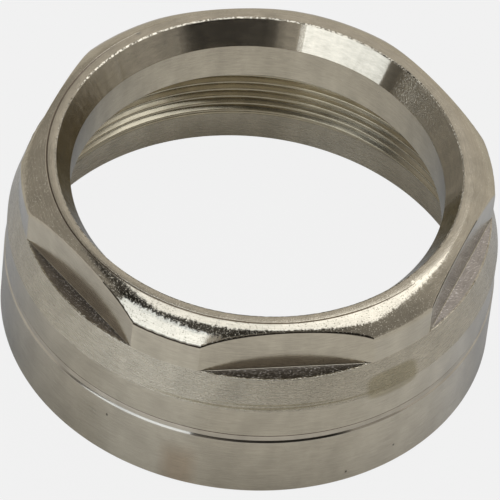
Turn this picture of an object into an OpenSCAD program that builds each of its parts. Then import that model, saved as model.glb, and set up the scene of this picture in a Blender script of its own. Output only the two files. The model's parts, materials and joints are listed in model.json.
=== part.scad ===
// Cartridge retaining nut: a turned ring with an inner thread, a tapered shoulder and six milled flats.
// Millimetres, +Z up along the turning axis, origin at the centre of the bottom face.

/* [Thread] */
// Major diameter of the inner thread
thread_d = 44; // [36:0.5:56]
// Pitch of the inner thread
thread_pitch = 1; // [0.5:0.25:2]
// Depth of the plain counterbore below the thread
lead_h = 3.4; // [1:0.1:5]
// Clearance of the counterbore over the thread, on the radius
lead_clear = 0.4; // [0.2:0.05:0.8]

/* [Body] */
// Height of the nut
height = 20; // [17:0.1:30]
// Wall of the skirt around the counterbore
skirt_wall = 1.2; // [0.9:0.05:3]
// Step from the skirt in to the body, on the radius
body_step = 0.1; // [0.05:0.05:0.4]
// Height of the plain band between the groove and the taper
band_h = 3.4; // [1.5:0.1:5]
// Height of the groove between the skirt and the body
groove_h = 0.7; // [0.4:0.1:1.2]
// Depth of the groove below the body, on the radius
groove_depth = 0.04; // [0.02:0.01:0.3]
// Height of the bevel from the skirt up to the groove
bevel_h = 0.26; // [0.1:0.02:0.5]
// Height of the taper from the body in to the level of the ledges
taper_h = 3.6; // [2:0.1:5]
// Step of the taper, on the radius
taper_w = 0.9; // [0.4:0.05:1.4]
// Chamfer that breaks the edges of the bottom face
edge_break = 0.2; // [0.05:0.05:0.4]

/* [Collar and flats] */
// Height of the flats, from the top face down to their ledges
flat_h = 5.2; // [4:0.1:7]
// Depth of each flat at its middle
flat_depth = 1.6; // [0.8:0.1:2]
// Number of flats
flat_count = 6; // [4:2:8]
// Height of the collar's lower edge over the ledges
collar_rise = 0.25; // [0.1:0.05:0.5]
// Fall of each ledge outwards, in degrees
ledge_fall = 9; // [0:1:15]
// Drop of the rounded crown, from the top face to the collar
crown_drop = 1.9; // [1:0.1:3]
// Bulge of the crown over its chord
crown_bulge = 0.28; // [0.1:0.02:0.5]

/* [Seat and mouth] */
// Width of the inner seat that presses on the cartridge
seat_w = 3.6; // [2.5:0.1:5]
// Material between the inner seat and the level of the ledges
seat_web = 1.25; // [0.8:0.05:3]
// Widening of the mouth over the bore, on the radius
mouth_w = 1.5; // [0.5:0.1:1.8]
// Depth of the conical mouth
mouth_h = 2.4; // [1:0.1:3.5]
// Width of the flat top rim
rim_w = 0.8; // [0.4:0.1:1.2]

/* [Hidden] */
$fn = 180;

// Ratio of the thread's full height on both sides to its pitch, for a 60 degree inner thread
THREAD_RATIO = 1.0825;
// Overrun of cuts past the faces that they open
OVERRUN = 1;
// Colour of the satin plating
SATIN = [0.60, 0.57, 0.52];

thread_r = thread_d / 2;
minor_r = thread_r - THREAD_RATIO * thread_pitch / 2;
lead_r = thread_r + lead_clear;
bore_r = minor_r - seat_w;
mouth_r = bore_r + mouth_w;
rim_r = mouth_r + rim_w;

skirt_r = lead_r + skirt_wall;
body_r = skirt_r - body_step;
collar_r = body_r - taper_w;
groove_r = body_r - groove_depth;
flat_r = collar_r - flat_depth;

ledge_z = height - flat_h;
collar_z = ledge_z + collar_rise;
taper_z = ledge_z - taper_h;
groove_top_z = taper_z - band_h;
groove_z = groove_top_z - groove_h;
crown_z = height - crown_drop;
mouth_z = height - mouth_h;
seat_z = ledge_z - seat_web;

crown_w = collar_r - rim_r;
crown_chord = norm([crown_w, crown_drop]);
crown_r = (crown_chord * crown_chord / 4 + crown_bulge * crown_bulge) / (2 * crown_bulge);
crown_lean = atan2(crown_drop, crown_w);
crown_reach = crown_r - crown_bulge;
crown_centre = [
    rim_r + crown_w / 2 - crown_reach * sin(crown_lean),
    height - crown_drop / 2 - crown_reach * cos(crown_lean)
];

// Outer half section, with a square corner where the crown comes off
module outer_section() {
    polygon([
        [0, 0],
        [skirt_r - edge_break, 0],
        [skirt_r, edge_break],
        [skirt_r, groove_z - bevel_h],
        [groove_r, groove_z],
        [groove_r, groove_top_z],
        [body_r, groove_top_z],
        [body_r, taper_z],
        [collar_r, collar_z],
        [collar_r, height],
        [0, height]
    ]);
}

// What the round of the crown takes off the collar's top corner
module crown_cut() {
    difference() {
        translate([rim_r, crown_z]) square([crown_w + OVERRUN, crown_drop + OVERRUN]);
        translate(crown_centre) circle(r = crown_r);
    }
}

// Inner half section: counterbore, thread at its minor diameter, seat, bore and mouth
module inner_section() {
    polygon([
        [0, -OVERRUN],
        [lead_r + edge_break, -OVERRUN],
        [lead_r + edge_break, 0],
        [lead_r, edge_break],
        [lead_r, lead_h],
        [minor_r, lead_h + lead_r - minor_r],
        [minor_r, seat_z],
        [bore_r, seat_z],
        [bore_r, mouth_z],
        [mouth_r, height],
        [mouth_r, height + OVERRUN],
        [0, height + OVERRUN]
    ]);
}

module turned_ring() {
    rotate_extrude() difference() {
        outer_section();
        crown_cut();
        inner_section();
    }
}

// What the cutter takes off one side: a flat square to X, over a ledge that falls outwards
module flat_cut() {
    reach = collar_r + OVERRUN;
    top = height + OVERRUN;
    rotate([90, 0, 0]) linear_extrude(2 * reach, center = true) polygon([
        [flat_r, ledge_z],
        [reach, ledge_z - (reach - flat_r) * tan(ledge_fall)],
        [reach, top],
        [flat_r, top]
    ]);
}

module nut() {
    color(SATIN) difference() {
        turned_ring();
        for (i = [0 : flat_count - 1]) rotate(i * 360 / flat_count) flat_cut();
    }
}

nut();
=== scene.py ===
import json
import math

import bmesh
import bpy
import numpy as np
from mathutils import Matrix, Vector


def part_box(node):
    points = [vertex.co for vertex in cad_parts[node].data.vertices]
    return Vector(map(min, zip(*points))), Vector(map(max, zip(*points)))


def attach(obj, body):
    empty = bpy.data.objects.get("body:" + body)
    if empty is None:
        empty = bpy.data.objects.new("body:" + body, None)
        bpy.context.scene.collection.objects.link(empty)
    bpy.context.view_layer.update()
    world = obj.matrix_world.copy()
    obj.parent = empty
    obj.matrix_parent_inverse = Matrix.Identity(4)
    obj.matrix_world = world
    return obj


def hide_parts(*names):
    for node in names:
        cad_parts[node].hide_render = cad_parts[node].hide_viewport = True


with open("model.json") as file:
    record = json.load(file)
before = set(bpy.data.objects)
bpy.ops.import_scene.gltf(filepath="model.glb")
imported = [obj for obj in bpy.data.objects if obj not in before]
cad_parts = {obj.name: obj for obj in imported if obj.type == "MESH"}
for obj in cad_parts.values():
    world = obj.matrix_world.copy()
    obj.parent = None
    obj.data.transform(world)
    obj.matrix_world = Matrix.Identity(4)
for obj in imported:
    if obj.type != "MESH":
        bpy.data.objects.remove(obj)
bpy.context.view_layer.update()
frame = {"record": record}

MM = 0.001

# Sizes of the nut in millimetres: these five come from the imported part
nut_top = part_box("nut")[1]
mounts = {mount["name"]: mount for mount in frame["record"]["mounts"]}
SKIRT_R = nut_top.x / MM
HEIGHT = nut_top.z / MM
MINOR_R = mounts["inner_thread"]["dims"]["r_mm"]
BORE_R = mounts["neck_bore"]["dims"]["r_mm"]
SEAT_Z = mounts["cartridge_seat"]["pos_m"][2] / MM

# Skirt, with the plain counterbore inside it
SKIRT_WALL = 1.2
LEAD_R = SKIRT_R - SKIRT_WALL
LEAD_H = 3.4
EDGE_BREAK = 0.2
FOOT_BREAK = 0.06

# Thread: it stops below the seat, and grows to its full depth over the fade
THREAD_PITCH = 1.0
THREAD_DEPTH = 0.5413 * THREAD_PITCH
THREAD_GAP = 0.15
THREAD_FADE = 1.2

# One turn of the thread downwards: share of the pitch, and share of the depth
THREAD_FORM = [
    (-0.155, 0.09), (-0.115, 0.0), (0.115, 0.0), (0.155, 0.09),
    (0.4, 0.92), (0.45, 1.0), (0.55, 1.0), (0.6, 0.92),
]

# Collar with its flats and ledges, over the tapered shoulder
BODY_STEP = 0.1
BODY_R = SKIRT_R - BODY_STEP
TAPER_W = 0.9
TAPER_H = 3.6
COLLAR_R = BODY_R - TAPER_W
FLAT_COUNT = 6
FLAT_DEPTH = 1.54
FLAT_H = 5.2
FLAT_R = COLLAR_R - FLAT_DEPTH
LEDGE_SLOPE = math.tan(math.radians(2.5))
LEDGE_Z = HEIGHT - FLAT_H
TAPER_Z = LEDGE_Z - TAPER_H

# Groove between the skirt and the plain band, with a bevelled lip below it and a slit at its top
BAND_H = 3.4
GROOVE_H = 0.7
LIP_W = 0.14
LIP_H = 0.24
SLIT_H = 0.1
SLIT_DEPTH = 0.12
GROOVE_R = SKIRT_R - LIP_W
GROOVE_TOP_Z = TAPER_Z - BAND_H
GROOVE_Z = GROOVE_TOP_Z - GROOVE_H

# Crown, rim and conical mouth
CROWN_DROP = 1.9
CROWN_BULGE = 0.2
CROWN_Z = HEIGHT - CROWN_DROP
MOUTH_W = 1.5
MOUTH_H = 2.4
MOUTH_R = BORE_R + MOUTH_W
MOUTH_Z = HEIGHT - MOUTH_H
RIM_W = 0.8
RIM_R = MOUTH_R + RIM_W
RIM_FLAT_W = 0.4
RIM_FALL = 0.03

# Line cut between the rim and the crown: its depth swings round the ring, about where it is deepest
RIM_LINE_W = 0.14
RIM_LINE_DEPTH = 0.14
RIM_LINE_AZIMUTH = math.radians(-117)
RIM_LINE_MIDDLE = 0.25
RIM_LINE_SWING = 2.5

# How far the edge under the crown is rounded: down the wall, and in over the crown
LAND_ROUND = (0.6, 0.27)
FLAT_ROUND = (0.36, 0.3)

# Bands on both sides of a ledge's outer edge, and the burr on the mouth's edge
EDGE_BAND = 0.16
BURR_W = 0.11
BURR_H = 0.08

# Seed and size of the ripples that make the edges ragged
LEDGE_BURR = (11, 0.015)
LEDGE_WEAR = (16, 0.14)
CROWN_RIPPLE = (15, 0.06)
RIM_BURR = (12, 0.015)
MOUTH_BURR = (14, 0.01)

# Least and most rounding of a ledge's worn edge, and the even rounding of the lands' lower edge
WEAR_RANGE = (0.03, 0.3)
LAND_WEAR = 0.05

# How finely the outline is cut, and the shares of the crown's arc between which its own points lie
LAND_STEPS = 11
FLAT_STEPS = 56
CREASE_ANGLE = math.radians(0.15)
CROWN_STEPS = 9
CROWN_SHARES = (0.35, 0.97)
RIPPLE_GRAINS = 700

# Most of a side's length that a rounding takes, and the gaps that are closed in the mesh
ROUND_SHARE = 0.45
WELD_GAP = 0.002
SLIVER_GAP = 0.0002
TINY = 1e-9

# Zones over the round between a wall and the crown, with a dark line of painted shade along its middle
ARCH_ZONES = ("wall", "wall", "wall", "arch", "arch", "crown", "crown", "crown", "crown")

# Azimuths in degrees between which that painted shade line marks the flats, and between which a land has it
# too
FLAT_SHADE_LINE = (-111, 8)
LAND_SHADE_LINE = (-111, -75)

# The view, measured about the turning axis from +X, in degrees and millimetres
VIEW_AZIMUTH = -72.1
VIEW_ELEVATION = 47.284
VIEW_ROLL = 6.303
VIEW_DISTANCE = 692.7
VIEW_LENS = 520.05
SENSOR_W = 36.0
AIM_RIGHT = -0.048
AIM_HEIGHT = 7.934


def direction(azimuth, elevation):
    """Unit vector at an azimuth about the axis, from +X, and an elevation, in degrees."""
    a, e = math.radians(azimuth), math.radians(elevation)
    return Vector((math.cos(a) * math.cos(e), math.sin(a) * math.cos(e), math.sin(e)))


# Level directions as the viewer sees them, and upwards
RIGHT = direction(VIEW_AZIMUTH + 90, 0)
AWAY = direction(VIEW_AZIMUTH + 180, 0)
UP = Vector((0, 0, 1))

# Half of the angle about the axis that a flat has to itself, and half of what it covers
HALF_SECTOR = math.pi / FLAT_COUNT
HALF_FLAT = math.acos(FLAT_R / COLLAR_R)


def column_angles():
    """Angles of the outline's columns, with two close ones at each crease between a flat and a land."""
    inner = HALF_FLAT - CREASE_ANGLE
    outer = HALF_FLAT + CREASE_ANGLE
    sector = np.concatenate([
        np.linspace(-HALF_SECTOR, -outer, LAND_STEPS + 1),
        [-HALF_FLAT],
        np.linspace(-inner, inner, FLAT_STEPS + 1),
        [HALF_FLAT],
        np.linspace(outer, HALF_SECTOR, LAND_STEPS + 1)[:-1],
    ])
    turns = [sector + 2 * HALF_SECTOR * k for k in range(FLAT_COUNT)]
    return np.append(np.concatenate(turns), turns[0][0] + 2 * math.pi)


angles = column_angles()
from_flat = np.mod(angles + HALF_SECTOR, 2 * HALF_SECTOR) - HALF_SECTOR
wall_r = np.minimum(COLLAR_R, FLAT_R / np.cos(from_flat))
on_flat = np.abs(from_flat) < HALF_FLAT


def roughened(seed, size):
    """A seeded ripple round the ring, in millimetres, which joins up with itself."""
    ripple = np.random.default_rng(seed).normal(0, size, RIPPLE_GRAINS)
    return np.interp(angles, np.linspace(0, 2 * math.pi, RIPPLE_GRAINS), ripple, period=2 * math.pi)


def between(azimuths):
    """Whether each column of faces starts between two azimuths, in degrees."""
    low, high = azimuths
    return np.mod(np.degrees(angles[:-1]) - low, 360) < high - low


def at(radius, height):
    """The same outline point on every column, or one that follows the given arrays."""
    return np.stack(np.broadcast_arrays(radius, height, angles)[:2], axis=1).astype(float)


def crown_points():
    """Points of the crown's arc on every column, from the wall or the flat up to the rim."""
    low = np.array([COLLAR_R, CROWN_Z])
    high = np.array([RIM_R + RIM_LINE_W, HEIGHT - RIM_FALL])
    chord = high - low
    length = np.hypot(*chord)
    radius = (length ** 2 / 4 + CROWN_BULGE ** 2) / (2 * CROWN_BULGE)
    outward = np.array([chord[1], -chord[0]]) / length
    centre = (low + high) / 2 - (radius - CROWN_BULGE) * outward
    start = np.arccos((wall_r - centre[0]) / radius)
    end = math.atan2(*(high - centre)[::-1])
    shares = [0, *np.linspace(*CROWN_SHARES, CROWN_STEPS), 1]
    turns = [start + (end - start) * share for share in shares]
    return [at(centre[0] + radius * np.cos(turn), centre[1] + radius * np.sin(turn)) for turn in turns]


def thread_points():
    """Rows that follow the helix down from the seat to the counterbore, on a right-hand metric form."""
    high = SEAT_Z - THREAD_GAP
    full_turns = math.ceil((high - LEAD_H) / THREAD_PITCH)
    rows = []
    # Turns past both ends lie flat on the end they pass, so that the rows meet where the ring closes
    for turn in range(-1, full_turns + 2):
        for phase, depth in THREAD_FORM:
            height = high + THREAD_PITCH * ((angles - angles[0]) / (2 * math.pi) - turn - phase)
            inside = (height > LEAD_H) & (height < high)
            height = np.clip(height, LEAD_H, high)
            fade = np.clip((high - height) / THREAD_FADE, 0, 1)
            cut = np.where(inside, MINOR_R + depth * THREAD_DEPTH * fade, MINOR_R)
            rows.append(at(np.maximum(cut, LEAD_R - (height - LEAD_H)), height))
    return rows


def ledge_edge():
    """Radius and height at which the sloping ledge under a flat runs out on the tapered shoulder."""
    taper = (COLLAR_R - BODY_R) / (LEDGE_Z - TAPER_Z)
    fall = taper * LEDGE_SLOPE
    edge_r = (COLLAR_R + fall * FLAT_R) / (1 + fall * np.cos(from_flat))
    edge_r = np.where(on_flat, edge_r, COLLAR_R)
    return edge_r, LEDGE_Z + (edge_r - COLLAR_R) / taper


# A corner is (point on every column, rounding in millimetres, its steps, zone of the faces after it)
def outer_corners():
    """Corners of the section from the bottom face up the outside, to the foot of the flats."""
    edge_r, edge_z = ledge_edge()
    edge_burr = np.where(on_flat, roughened(*LEDGE_BURR), 0)
    edge_wear = np.where(on_flat, np.clip(roughened(*LEDGE_WEAR), *WEAR_RANGE), LAND_WEAR)
    shelf_r = np.maximum(wall_r, edge_r - EDGE_BAND)
    shelf_z = LEDGE_Z + (edge_z - LEDGE_Z) * (shelf_r - wall_r) / np.maximum(edge_r - wall_r, EDGE_BAND)
    below_edge = EDGE_BAND * (BODY_R - COLLAR_R) / (LEDGE_Z - TAPER_Z)
    return [
        (at(LEAD_R + EDGE_BREAK, 0), 0.05, 2, "base"),
        (at(SKIRT_R - FOOT_BREAK, 0), 0.01, 2, "skirt"),
        (at(SKIRT_R, FOOT_BREAK), 0.04, 2, "skirt"),
        (at(SKIRT_R, GROOVE_Z - LIP_H), 0.2, 4, "groove"),
        (at(GROOVE_R, GROOVE_Z), 0.04, 2, "groove"),
        # The slit's faces are dark with painted shade
        (at(GROOVE_R, GROOVE_TOP_Z - SLIT_H), 0.02, 2, "slit"),
        (at(GROOVE_R - SLIT_DEPTH, GROOVE_TOP_Z - SLIT_H), 0, 0, "slit"),
        (at(GROOVE_R - SLIT_DEPTH, GROOVE_TOP_Z), 0, 0, "groove"),
        (at(BODY_R, GROOVE_TOP_Z), 0.02, 2, "skirt"),
        (at(BODY_R, TAPER_Z), 0.3, 3, "taper"),
        (at(edge_r + below_edge, edge_z - EDGE_BAND), 0, 0, "taper"),
        (at(edge_r + edge_burr, edge_z), (edge_wear, edge_wear), 3, "edge"),
        (at(shelf_r, shelf_z), 0, 0, "ledge"),
        (at(wall_r, LEDGE_Z), 0.05, 3, "wall"),
    ]


def crown_corners():
    """Corners of the section from the edge under the crown to the line beside the rim."""
    low, *middle, high = crown_points()
    down, inwards = (np.where(on_flat, *reach) for reach in zip(FLAT_ROUND, LAND_ROUND))
    edge_round = (down, inwards + roughened(*CROWN_RIPPLE))
    return [
        (low, edge_round, len(ARCH_ZONES) - 1, ARCH_ZONES),
        *((point, 0, 0, "crown") for point in middle),
        (high, 0, 0, "slit"),
    ]


def inner_corners():
    """Corners of the section from the line beside the rim down the inside, to the bottom face."""
    cone = MOUTH_W / MOUTH_H
    line = np.clip(RIM_LINE_MIDDLE + RIM_LINE_SWING * np.cos(angles - RIM_LINE_AZIMUTH), 0, 1)
    line_r = RIM_R + RIM_LINE_W * (1 - line)
    line_z = HEIGHT - RIM_FALL - RIM_LINE_DEPTH * line
    burr_r = MOUTH_R + BURR_W + roughened(*RIM_BURR)
    burr_z = HEIGHT - BURR_H + roughened(*MOUTH_BURR)
    return [
        # The line cut's faces are dark with painted shade
        (at(RIM_R + RIM_LINE_W, line_z), 0, 0, "slit"),
        (at(line_r, line_z), 0, 0, "rim"),
        (at(line_r, HEIGHT - RIM_FALL), 0.05, 3, "rim"),
        (at(MOUTH_R + RIM_FLAT_W, HEIGHT), 0, 0, "rim"),
        (at(burr_r, HEIGHT), 0.06, 3, "burr"),
        (at(MOUTH_R - BURR_H * cone, burr_z), 0.02, 2, "mouth"),
        (at(BORE_R, MOUTH_Z), 0.1, 3, "bore"),
        (at(BORE_R, SEAT_Z), 0.12, 3, "seat"),
        (at(MINOR_R, SEAT_Z), 0.05, 2, "thread"),
        *((point, 0, 0, "thread") for point in thread_points()),
        (at(LEAD_R, LEAD_H), 0.05, 2, "counterbore"),
        (at(LEAD_R, EDGE_BREAK), 0.05, 2, "counterbore"),
    ]


def rounded(before, corner, after, rounding, steps):
    """Rows of points that round a corner on every column, where there is room.

    The rounding is a radius, or a pair of reaches along the two sides."""
    if not steps:
        return [corner]
    sides = [before - corner, after - corner]
    lengths = [np.maximum(np.hypot(*side.T), TINY) for side in sides]
    units = [side / length[:, None] for side, length in zip(sides, lengths)]
    reaches, room = rounding, lengths
    if not isinstance(rounding, tuple):
        half = np.arccos(np.clip((units[0] * units[1]).sum(axis=1), -1, 1)) / 2
        reaches = [rounding / np.maximum(np.tan(half), TINY)] * 2
        room = [np.minimum(*lengths)] * 2
    start, end = (
        corner + unit * np.minimum(reach, ROUND_SHARE * length)[:, None]
        for unit, reach, length in zip(units, reaches, room)
    )
    shares = np.linspace(0, 1, steps + 1)
    return [(1 - t) ** 2 * start + 2 * t * (1 - t) * corner + t ** 2 * end for t in shares]


def outline_rows():
    """Rows of points round the closed section, and the zone of the faces that follow each row."""
    corners = outer_corners() + crown_corners() + inner_corners()
    rows = []
    zones = []
    for k, (corner, rounding, steps, zone) in enumerate(corners):
        before = corners[k - 1][0]
        after = corners[(k + 1) % len(corners)][0]
        rows += rounded(before, corner, after, rounding, steps)
        zones += zone if isinstance(zone, tuple) else [zone] * (len(rows) - len(zones))
    return np.array(rows), zones


def face_slots(zones, names):
    """Material slot of every face, row by row: three zones change their finish round the ring."""
    flat_faces = on_flat[:-1] & on_flat[1:]
    # Where the near-black line of painted shade runs along the edge under the crown
    shade_lined = (flat_faces & between(FLAT_SHADE_LINE)) | between(LAND_SHADE_LINE)
    by_column = {
        "wall": (flat_faces, "flat", "land"),
        "edge": (flat_faces, "burr", "land"),
        "arch": (shade_lined, "arch", "crown"),
    }
    slots = []
    for zone in zones:
        there, first, second = by_column.get(zone, (flat_faces, zone, zone))
        slots.append(np.where(there, names.index(first), names.index(second)))
    return np.ravel(slots).astype(np.int32)


def weld(mesh):
    """Joins the points that coincide, and takes out faces without area."""
    welded = bmesh.new()
    welded.from_mesh(mesh)
    bmesh.ops.remove_doubles(welded, verts=welded.verts, dist=WELD_GAP * MM)
    bmesh.ops.dissolve_degenerate(welded, edges=welded.edges, dist=SLIVER_GAP * MM)
    welded.to_mesh(mesh)
    welded.free()


def build_nut(zone_materials):
    """The ring as one closed mesh, with a material for each turned, milled or threaded zone."""
    rows, zones = outline_rows()
    radius, height = rows[:, :, 0], rows[:, :, 1]
    points = np.stack([radius * np.cos(angles), radius * np.sin(angles), height], axis=2)
    row_count, column_count = radius.shape
    row, column = np.mgrid[0:row_count, 0:column_count - 1]
    here = row * column_count + column
    after = (row + 1) % row_count * column_count + column
    quads = np.stack([here, here + 1, after + 1, after], axis=2).reshape(-1, 4)

    mesh = bpy.data.meshes.new("retaining_nut")
    mesh.from_pydata((points.reshape(-1, 3) * MM).tolist(), [], quads.tolist())
    for material in zone_materials.values():
        mesh.materials.append(material)
    mesh.polygons.foreach_set("material_index", face_slots(zones, list(zone_materials)))
    weld(mesh)
    mesh.shade_smooth()
    nut = bpy.data.objects.new("retaining_nut", mesh)
    bpy.context.scene.collection.objects.link(nut)
    weighted = nut.modifiers.new("crisp_faces", "WEIGHTED_NORMAL")
    weighted.mode = "FACE_AREA"
    weighted.weight = 50
    return nut


def shade(tone, factor=1.0):
    """The tone made lighter or darker, as a colour with full cover."""
    return tuple(channel * factor for channel in tone) + (1.0,)


def grey(level):
    """An even grey with full cover."""
    return (level, level, level, 1.0)


class Graph:
    """Adds nodes to a node tree: an input is either a value or another node's output."""

    def __init__(self, owner):
        owner.use_nodes = True
        self.tree = owner.node_tree
        self.tree.nodes.clear()

    def add(self, kind, inputs=None, **settings):
        node = self.tree.nodes.new(kind)
        for name, value in settings.items():
            setattr(node, name, value)
        for key, value in (inputs or {}).items():
            if isinstance(value, bpy.types.NodeSocket):
                self.tree.links.new(value, node.inputs[key])
            else:
                node.inputs[key].default_value = value
        return node

    def math(self, operation, *values):
        return self.add("ShaderNodeMath", dict(enumerate(values)), operation=operation).outputs[0]

    def vector(self, operation, *values):
        """A sum or the like of vectors, as a vector."""
        return self.add("ShaderNodeVectorMath", dict(enumerate(values)), operation=operation).outputs[0]

    def measure(self, operation, *values):
        """A product or the length of vectors, as one number."""
        inputs = dict(enumerate(values))
        return self.add("ShaderNodeVectorMath", inputs, operation=operation).outputs["Value"]

    def combine(self, x, y, z):
        return self.add("ShaderNodeCombineXYZ", {0: x, 1: y, 2: z}).outputs[0]

    def split(self, vector):
        return self.add("ShaderNodeSeparateXYZ", {0: vector}).outputs

    def hypot(self, x, y):
        return self.math("SQRT", self.math("ADD", self.math("MULTIPLY", x, x), self.math("MULTIPLY", y, y)))

    def millimetres(self):
        """The shaded spot's place in its object's own frame, in millimetres."""
        spot = self.add("ShaderNodeTexCoord").outputs["Object"]
        return self.add("ShaderNodeVectorMath", {0: spot, "Scale": 1 / MM}, operation="SCALE").outputs[0]

    def noise(self, vector, scale=1.0, detail=2.0, roughness=0.5):
        inputs = {"Vector": vector, "Scale": scale, "Detail": detail, "Roughness": roughness}
        return self.add("ShaderNodeTexNoise", inputs).outputs["Fac"]

    def remap(self, value, low, high, to_low, to_high):
        inputs = {"Value": value, "From Min": low, "From Max": high, "To Min": to_low, "To Max": to_high}
        return self.add("ShaderNodeMapRange", inputs).outputs["Result"]

    def ramp(self, value, steps):
        """A grey level that runs through (value, level) steps."""
        low, high = steps[0][0], steps[-1][0]
        node = self.add("ShaderNodeValToRGB", {0: self.remap(value, low, high, 0.0, 1.0)})
        marks = node.color_ramp.elements
        for step, level in steps:
            place = (step - low) / (high - low)
            mark = marks[0] if place == 0 else marks[-1] if place == 1 else marks.new(place)
            mark.color = grey(level)
        return node.outputs[0]

    def blend(self, share, first, second, blend_type="MIX"):
        """Two colours blended by a share of the second."""
        inputs = {0: share, 6: first, 7: second}
        return self.add("ShaderNodeMix", inputs, data_type="RGBA", blend_type=blend_type).outputs[2]


class TurnedGraph(Graph):
    """A material on the turned form, which knows where a spot lies round the axis and along the section."""

    def __init__(self, material):
        super().__init__(material)
        self.place = self.millimetres()
        x, y, z = self.split(self.place)
        radius = self.hypot(x, y)
        self.along = self.math("SUBTRACT", z, radius)
        self.turn_x = self.math("DIVIDE", x, radius)
        self.turn_y = self.math("DIVIDE", y, radius)

    def swept(self, turn_scale, along_scale):
        """A place for noise, with one scale round the axis and another along the section."""
        return self.combine(
            self.math("MULTIPLY", self.turn_x, turn_scale),
            self.math("MULTIPLY", self.turn_y, turn_scale),
            self.math("MULTIPLY", self.along, along_scale),
        )

    def facing(self, azimuth):
        """Cosine of the angle round the axis between the spot and an azimuth."""
        outwards = self.combine(self.turn_x, self.turn_y, 0.0)
        return self.measure("DOT_PRODUCT", outwards, direction(azimuth, 0))


# The plating's own colour, its tint at a glancing angle, and its roughness in a finish's rough sector
PLATING = (0.6, 0.54, 0.42)
EDGE_TINT = (0.82, 0.865, 0.95, 1.0)
SECTOR_ROUGHNESS = 0.4

# Scales of the marks round the axis and along the section
RING_TURN_SCALE = 12.0
FIBRE_ALONG_SCALE = 1.5
CLOUD_SCALES = (10.0, 0.25)
LINE_SCALES = (14.0, 9.0)

# Noise levels between which grain, tint and roughness change, and how far tint and roughness spread
GRAIN_TOP = 0.75
TINT_LEVELS = (0.3, 0.7)
RING_LEVELS = (0.25, 0.75)
SPREAD = (0.8, 1.2)

# Share of the clouds in the tint: the rest comes from the lines
CLOUD_SHARE = 0.45

# Anisotropic rotation that turns the highlight across the turning lines
QUARTER_TURN = 0.25

# Power of the curve round a stain: 2 is an ellipse, and more is squarer
SQUARENESS = 4.0


def mottled(g, tone):
    """The tone with soft clouds and fine turning lines in it."""
    clouds = g.math("MULTIPLY", g.noise(g.swept(*CLOUD_SCALES), detail=3.0), CLOUD_SHARE)
    lines = g.math("MULTIPLY", g.noise(g.swept(*LINE_SCALES), detail=3.0, roughness=0.7), 1 - CLOUD_SHARE)
    tint = g.math("ADD", clouds, lines)
    return g.blend(g.remap(tint, *TINT_LEVELS, 0.0, 1.0), *(shade(tone, factor) for factor in SPREAD))


def stained(g, colour, stains):
    """The colour under its stains: (azimuth, height, half width, half height, softness, tint) each."""
    for azimuth, height, half_w, half_h, softness, tint in stains:
        centre = direction(azimuth, 0) * SKIRT_R + UP * height
        x, y, z = g.split(g.vector("SUBTRACT", g.place, centre))
        across = g.math("DIVIDE", g.hypot(x, y), half_w)
        rise = g.math("DIVIDE", z, half_h)
        powers = [g.math("POWER", side, SQUARENESS) for side in (across, rise)]
        reach = g.math("POWER", g.math("ADD", *powers), 1 / SQUARENESS)
        cover = g.remap(reach, 1 - softness, 1 + softness, 1.0, 0.0)
        colour = g.blend(cover, colour, shade(tint), "MULTIPLY")
    return colour


def leaning(g, fibre):
    """The surface's normal, tilted up and down by fibres that lie up the slope."""
    fibres_a_mm, tilt = fibre
    fibres = g.noise(g.swept(COLLAR_R * fibres_a_mm, FIBRE_ALONG_SCALE), roughness=0.6)
    lift = g.combine(0.0, 0.0, g.remap(fibres, 0.0, 1.0, -tilt, tilt))
    plain = g.add("ShaderNodeNewGeometry").outputs["Normal"]
    return g.vector("NORMALIZE", g.vector("ADD", plain, lift))


def plating(
    name, tone=PLATING, edge=EDGE_TINT, roughness=0.25, ring=(6.0, 0.0015), grain=None, sector=None,
    fibre=None, anisotropy=0.0, stains=(),
):
    """Satin plating over turned metal, with a tone of its own and an edge tint at a glancing angle.

    Rings run round the axis: (lines a millimetre, depth in millimetres). Grain is the same every way:
    (grains a millimetre, depth, noise level at which a grain starts). A sector, (azimuth, half width) in
    degrees, keeps the grain to one side of the ring and makes it rougher. Fibres lie up the slope:
    (fibres a millimetre, tilt)."""
    material = bpy.data.materials.new(name)
    g = TurnedGraph(material)
    lines_a_mm, ring_depth = ring
    rings = g.noise(g.swept(RING_TURN_SCALE, lines_a_mm), detail=4.0, roughness=0.65)
    height = g.math("MULTIPLY", rings, ring_depth)
    if grain:
        grains_a_mm, grain_depth, start = grain
        grains = g.remap(g.noise(g.place, scale=grains_a_mm), start, GRAIN_TOP, 0.0, 1.0)
        if sector:
            azimuth, half_width = sector
            outer = math.cos(math.radians(half_width))
            inner = (1 + outer) / 2
            facing = g.facing(azimuth)
            grain_depth = g.remap(facing, outer, inner, 0.0, grain_depth)
            roughness = g.remap(facing, outer, inner, roughness, SECTOR_ROUGHNESS)
        height = g.math("ADD", height, g.math("MULTIPLY", grains, grain_depth))
    relief = {"Height": height, "Distance": MM, "Strength": 1.0}
    if fibre:
        relief["Normal"] = leaning(g, fibre)
    finish = {
        "Base Color": stained(g, mottled(g, tone), stains),
        "Metallic": 1.0,
        "Specular Tint": edge,
        "Roughness": g.math("MULTIPLY", roughness, g.remap(rings, *RING_LEVELS, *SPREAD)),
        "Normal": g.add("ShaderNodeBump", relief).outputs[0],
        "Anisotropic": anisotropy,
        "Anisotropic Rotation": QUARTER_TURN,
    }
    if anisotropy:
        finish["Tangent"] = g.add("ShaderNodeTangent", direction_type="RADIAL", axis="Z").outputs[0]
    surface = g.add("ShaderNodeBsdfPrincipled", finish)
    g.add("ShaderNodeOutputMaterial", {"Surface": surface.outputs[0]})
    return material


OLIVE = (0.75, 0.73, 0.64)
BROWN = (0.8, 0.73, 0.67)
PIT = (0.3, 0.28, 0.26)

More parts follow.
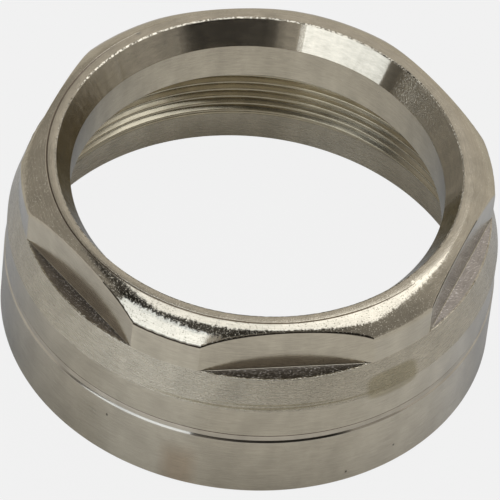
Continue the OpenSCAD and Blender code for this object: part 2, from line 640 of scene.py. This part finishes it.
# Azimuth and height, half width and half height, softness and tint of each mark on the outside
STAINS = [
    (-33.2, 11.9, 2.85, 1.4, 0.1, OLIVE),
    (-83.5, 1.9, 1.5, 2.6, 0.45, BROWN),
    (-105.7, 9.4, 0.07, 0.2, 0.4, PIT),
    (-102.0, 5.2, 0.1, 0.16, 0.4, PIT),
    (-31.1, 2.4, 0.1, 0.12, 0.4, PIT),
    (-43.6, 1.15, 0.1, 0.14, 0.4, PIT),
]

# Faint streaks round the foot of the taper, with the mark that reaches up to it
STREAKS = [
    STAINS[0],
    (-74.0, 11.5, 6.0, 0.1, 0.5, OLIVE),
    (-62.0, 11.9, 5.0, 0.08, 0.5, OLIVE),
    (-52.0, 11.6, 5.5, 0.09, 0.5, OLIVE),
]

# What each zone's finish has of its own, in the order of the mesh's slots
FINISHES = {
    "base": {"roughness": 0.32},
    "skirt": {"roughness": 0.24, "ring": (7.0, 0.0015), "stains": STAINS},
    "groove": {"tone": (0.58, 0.525, 0.425), "roughness": 0.1, "ring": (4.0, 0.0004)},
    "taper": {"roughness": 0.27, "ring": (9.0, 0.003), "grain": (8.0, 0.03, 0.45), "stains": STREAKS},
    "ledge": {
        "tone": (0.47, 0.425, 0.375), "roughness": 0.08, "ring": (3.0, 0.0004), "grain": (5.0, 0.012, 0.56),
    },
    "burr": {"roughness": 0.08, "grain": (4.0, 0.12, 0.5)},
    # A near-black strip of painted shade along the edge under the crown, dull at a glancing angle too
    "arch": {
        "tone": (0.07, 0.055, 0.04), "edge": (0.2, 0.18, 0.15, 1.0), "roughness": 0.2,
        "grain": (6.0, 0.04, 0.5),
    },
    # Painted shade darkens the slit over the groove and the line cut beside the rim
    "slit": {"tone": (0.28, 0.23, 0.18), "edge": (0.4, 0.36, 0.3, 1.0), "roughness": 0.2},
    "land": {"roughness": 0.2, "ring": (5.0, 0.0008)},
    "flat": {"roughness": 0.2, "ring": (5.0, 0.0008)},
    "crown": {
        "edge": (0.8, 0.76, 0.68, 1.0), "roughness": 0.09, "ring": (4.0, 0.003), "grain": (8.0, 0.02, 0.63),
        "fibre": (3.5, 0.15),
    },
    "rim": {"roughness": 0.2, "ring": (8.0, 0.008), "grain": (8.0, 0.008, 0.5)},
    "mouth": {
        "roughness": 0.15, "ring": (6.0, 0.004), "grain": (6.0, 0.03, 0.45), "sector": (40, 28),
        "fibre": (3.0, 0.06), "anisotropy": 1.0,
    },
    "bore": {"roughness": 0.24, "ring": (5.0, 0.001)},
    "seat": {"roughness": 0.3, "ring": (5.0, 0.004)},
    "thread": {"tone": (0.54, 0.48, 0.345), "roughness": 0.2, "ring": (9.0, 0.0015)},
    "counterbore": {"roughness": 0.27, "ring": (5.0, 0.0015), "grain": (5.0, 0.004, 0.5)},
}


def set_camera():
    """The camera at the photograph's angle, turned a little about its line of sight."""
    back = direction(VIEW_AZIMUTH, VIEW_ELEVATION)
    right = (Matrix.Rotation(math.radians(VIEW_ROLL), 3, back) @ RIGHT).normalized()
    up = back.cross(right)
    aim = (RIGHT * AIM_RIGHT + UP * AIM_HEIGHT) * MM
    data = bpy.data.cameras.new("view")
    data.lens = VIEW_LENS
    data.sensor_width = SENSOR_W
    data.clip_start = 0.01
    data.clip_end = 20.0
    camera = bpy.data.objects.new("view", data)
    camera.matrix_world = Matrix((right, up, back)).transposed().to_4x4()
    camera.location = aim + back * VIEW_DISTANCE * MM
    bpy.context.scene.collection.objects.link(camera)
    bpy.context.scene.camera = camera


# The even grey that the camera sees on the floor, and its share there
FLOOR_GREY = 0.893
EVEN_SHARE = 0.97

# The floor's colour in the light, its side in metres, and its gap under the nut in millimetres
FLOOR_TONE = (0.67, 0.65, 0.62, 1.0)
FLOOR_SIZE = 6.0
FLOOR_GAP = 0.02

# Distance towards the viewer in millimetres over which the floor darkens, and the share that is left
FLOOR_END = (68.0, 105.0)
FLOOR_LEFT = 0.05

# Distance from the axis in millimetres, and how much of the even grey metal mirrors there: a painted glow,
# low round the nut as painted shade and high in its hole as painted light
PAINTED_GLOW_RINGS = [(0, 0.38), (10, 0.37), (19, 0.17), (24, 0.06), (32, 0.175), (37, 0.295), (200, 0.295)]


def floor_material():
    """A surface that the camera sees as an even grey, and that metal mirrors with its shadow, under a
    painted glow that is dim round the nut and bright in its hole.
    """
    material = bpy.data.materials.new("floor")
    g = Graph(material)
    place = g.millimetres()
    near = g.remap(g.measure("DOT_PRODUCT", place, -AWAY), *FLOOR_END, 1.0, FLOOR_LEFT)
    # Painted shade round the nut and painted light in its hole, in what metal mirrors
    own = g.math("MULTIPLY", g.ramp(g.measure("LENGTH", place), PAINTED_GLOW_RINGS), near)
    tone = g.blend(near, grey(0.0), FLOOR_TONE)
    lit = g.add("ShaderNodeBsdfPrincipled", {"Base Color": tone, "Roughness": 0.1, "IOR": 1.8})
    even = g.add("ShaderNodeEmission", {"Color": grey(FLOOR_GREY), "Strength": 1.0})
    path = g.add("ShaderNodeLightPath").outputs
    mirrored = g.math("MAXIMUM", path["Is Glossy Ray"], path["Is Transmission Ray"])
    seen = g.math("MULTIPLY", path["Is Camera Ray"], EVEN_SHARE)
    share = g.math("MAXIMUM", seen, g.math("MULTIPLY", mirrored, own))
    mixed = g.add("ShaderNodeMixShader", {0: share, 1: lit.outputs[0], 2: even.outputs[0]})
    g.add("ShaderNodeOutputMaterial", {"Surface": mixed.outputs[0]})
    return material


def build_floor():
    """A pale plain floor under the nut."""
    half = FLOOR_SIZE / 2
    mesh = bpy.data.meshes.new("floor")
    corners = [(-half, -half, 0), (half, -half, 0), (half, half, 0), (-half, half, 0)]
    mesh.from_pydata(corners, [], [(0, 1, 2, 3)])
    mesh.materials.append(floor_material())
    floor = bpy.data.objects.new("floor", mesh)
    floor.location.z = -FLOOR_GAP * MM
    bpy.context.scene.collection.objects.link(floor)


# In the room, bearings are degrees rightwards from the viewer, and heights go from 0, level, to 1, overhead
ROOM_TINT = (1.0, 0.97, 0.95, 1.0)

# Bearing, and how bright the room is there
WALLS = [
    (-180, 0.58), (-150, 0.33), (-120, 0.31), (-90, 0.34), (-76, 0.29), (-71, 0.12), (-64, 0.12),
    (-60, 0.24), (-20, 0.5), (-13, 0.42), (-4, 0.28), (0, 0.24), (4, 0.24), (12, 0.3), (32, 0.3),
    (45, 0.22), (60, 0.23), (80, 0.29), (100, 0.385), (125, 0.54), (180, 0.58),
]

# Low glow at the right: the bearings and the heights over which it comes and goes, and its brightness
GLOW_BEARINGS = (44.0, 49.0)
GLOW_HEIGHTS = (0.2, 0.27)
GLOW_LEVEL = 0.35

# Bearing, and how much of the wall's light the gap at the front takes away, up to these heights
GAP = [(-20, 0.0), (-2, 0.0), (0, 0.6), (5, 0.8), (14, 0.9), (41, 0.91), (45, 0.6), (48, 0.0)]
GAP_HEIGHTS = (0.46, 0.56)

# Shadow low at the front: its bearing, the cosines and heights over which it comes and goes, and its depth
SHADOW_BEARING = -10
SHADOW_COSINES = (0.6, 0.8)
SHADOW_HEIGHTS = (0.1, 0.2)
SHADOW_DEPTH = 0.85

# Bearing, and how much of the wall's light is left in the dusk high up
DUSK = [(-180, 1.0), (-150, 0.22), (-60, 0.15), (35, 0.15), (75, 1.0), (180, 1.0)]

# Bearings and heights between which the dusk's lower edge runs, and how far up it fades in
DUSK_BEARINGS = (-85.0, -60.0)
DUSK_HEIGHTS = (0.77, 0.7)
DUSK_FADE = 0.06


def build_room():
    """The room's light: palest at the back, dim at the front and high up, with a dark gap at the front."""
    world = bpy.data.worlds.new("room")
    bpy.context.scene.world = world
    g = Graph(world)
    ray = g.add("ShaderNodeTexCoord").outputs["Generated"]
    height = g.split(ray)["Z"]

    def towards(bearing):
        return g.measure("DOT_PRODUCT", ray, direction(VIEW_AZIMUTH + bearing, 0))

    def below(heights):
        return g.remap(height, *heights, 1.0, 0.0)

    bearing = g.math("DEGREES", g.math("ARCTAN2", towards(90), towards(0)))
    glow = g.math("MULTIPLY", g.remap(bearing, *GLOW_BEARINGS, 0.0, GLOW_LEVEL), below(GLOW_HEIGHTS))
    walls = g.math("MAXIMUM", g.ramp(bearing, WALLS), glow)
    gap = g.math("MULTIPLY", g.ramp(bearing, GAP), below(GAP_HEIGHTS))
    front = g.remap(towards(SHADOW_BEARING), *SHADOW_COSINES, 0.0, SHADOW_DEPTH)
    shadow = g.math("MULTIPLY", front, below(SHADOW_HEIGHTS))
    dusk_low = g.remap(bearing, *DUSK_BEARINGS, *DUSK_HEIGHTS)
    dusk_high = g.math("ADD", dusk_low, DUSK_FADE)
    dusk = g.remap(height, dusk_low, dusk_high, 1.0, g.ramp(bearing, DUSK))
    lit = g.math("MULTIPLY", dusk, g.math("SUBTRACT", 1.0, g.math("MAXIMUM", gap, shadow)))
    brightness = g.math("MULTIPLY", walls, lit)
    room = g.add("ShaderNodeBackground", {"Color": ROOM_TINT, "Strength": brightness})
    plain = g.add("ShaderNodeBackground", {"Color": grey(FLOOR_GREY), "Strength": 1.0})
    seen = g.add("ShaderNodeLightPath").outputs["Is Camera Ray"]
    mixed = g.add("ShaderNodeMixShader", {0: seen, 1: room.outputs[0], 2: plain.outputs[0]})
    g.add("ShaderNodeOutputWorld", {"Surface": mixed.outputs[0]})


# The lamps, in metres: the softbox stands at a bearing from the viewer
SOFTBOX_BEARING = -38
SOFTBOX_DISTANCE = 0.3
SOFTBOX_HEIGHT = 0.1985
SOFTBOX_SIZE = (0.255, 0.373)
SOFTBOX_RADIANCE = 1.26
SOFTBOX_COLOUR = (0.89, 1.0, 1.18)
OVERHEAD_HEIGHT = 0.6
OVERHEAD_RADIANCE = 1.42
OVERHEAD_COLOUR = (0.95, 1.0, 1.1)

# Name of each panel overhead, how far it hangs to the right and away from the viewer, and its size
OVERHEAD_PANELS = [
    ("overhead_left", -0.095, -0.06, (0.39, 0.33)),
    ("overhead_right", 0.33, 0.06, (0.46, 0.6)),
]


def add_panel(name, centre, shines, across, size, radiance, colour):
    """A soft panel lamp at a point, shining one way, with its brightness as a radiance."""
    data = bpy.data.lights.new(name, "AREA")
    data.shape = "RECTANGLE"
    data.size, data.size_y = size
    data.energy = radiance * math.pi * size[0] * size[1]
    data.color = colour
    lamp = bpy.data.objects.new(name, data)
    lamp.location = centre
    lamp.rotation_euler = Matrix((across, across.cross(shines), -shines)).transposed().to_euler()
    lamp.visible_camera = False
    bpy.context.scene.collection.objects.link(lamp)


def build_lamps():
    """An upright softbox at the front left and two panels overhead, as the crown's highlights show."""
    out = direction(VIEW_AZIMUTH + SOFTBOX_BEARING, 0)
    centre = out * SOFTBOX_DISTANCE + UP * SOFTBOX_HEIGHT
    add_panel("front_softbox", centre, -out, out.cross(UP), SOFTBOX_SIZE, SOFTBOX_RADIANCE, SOFTBOX_COLOUR)
    for name, to_right, to_back, size in OVERHEAD_PANELS:
        centre = UP * OVERHEAD_HEIGHT + RIGHT * to_right + AWAY * to_back
        add_panel(name, centre, -UP, RIGHT, size, OVERHEAD_RADIANCE, OVERHEAD_COLOUR)


bpy.context.scene.view_settings.view_transform = "Standard"
set_camera()
build_floor()
build_room()
build_lamps()
nut = build_nut({zone: plating(f"nut_{zone}", **finish) for zone, finish in FINISHES.items()})
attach(nut, "root")
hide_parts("nut")
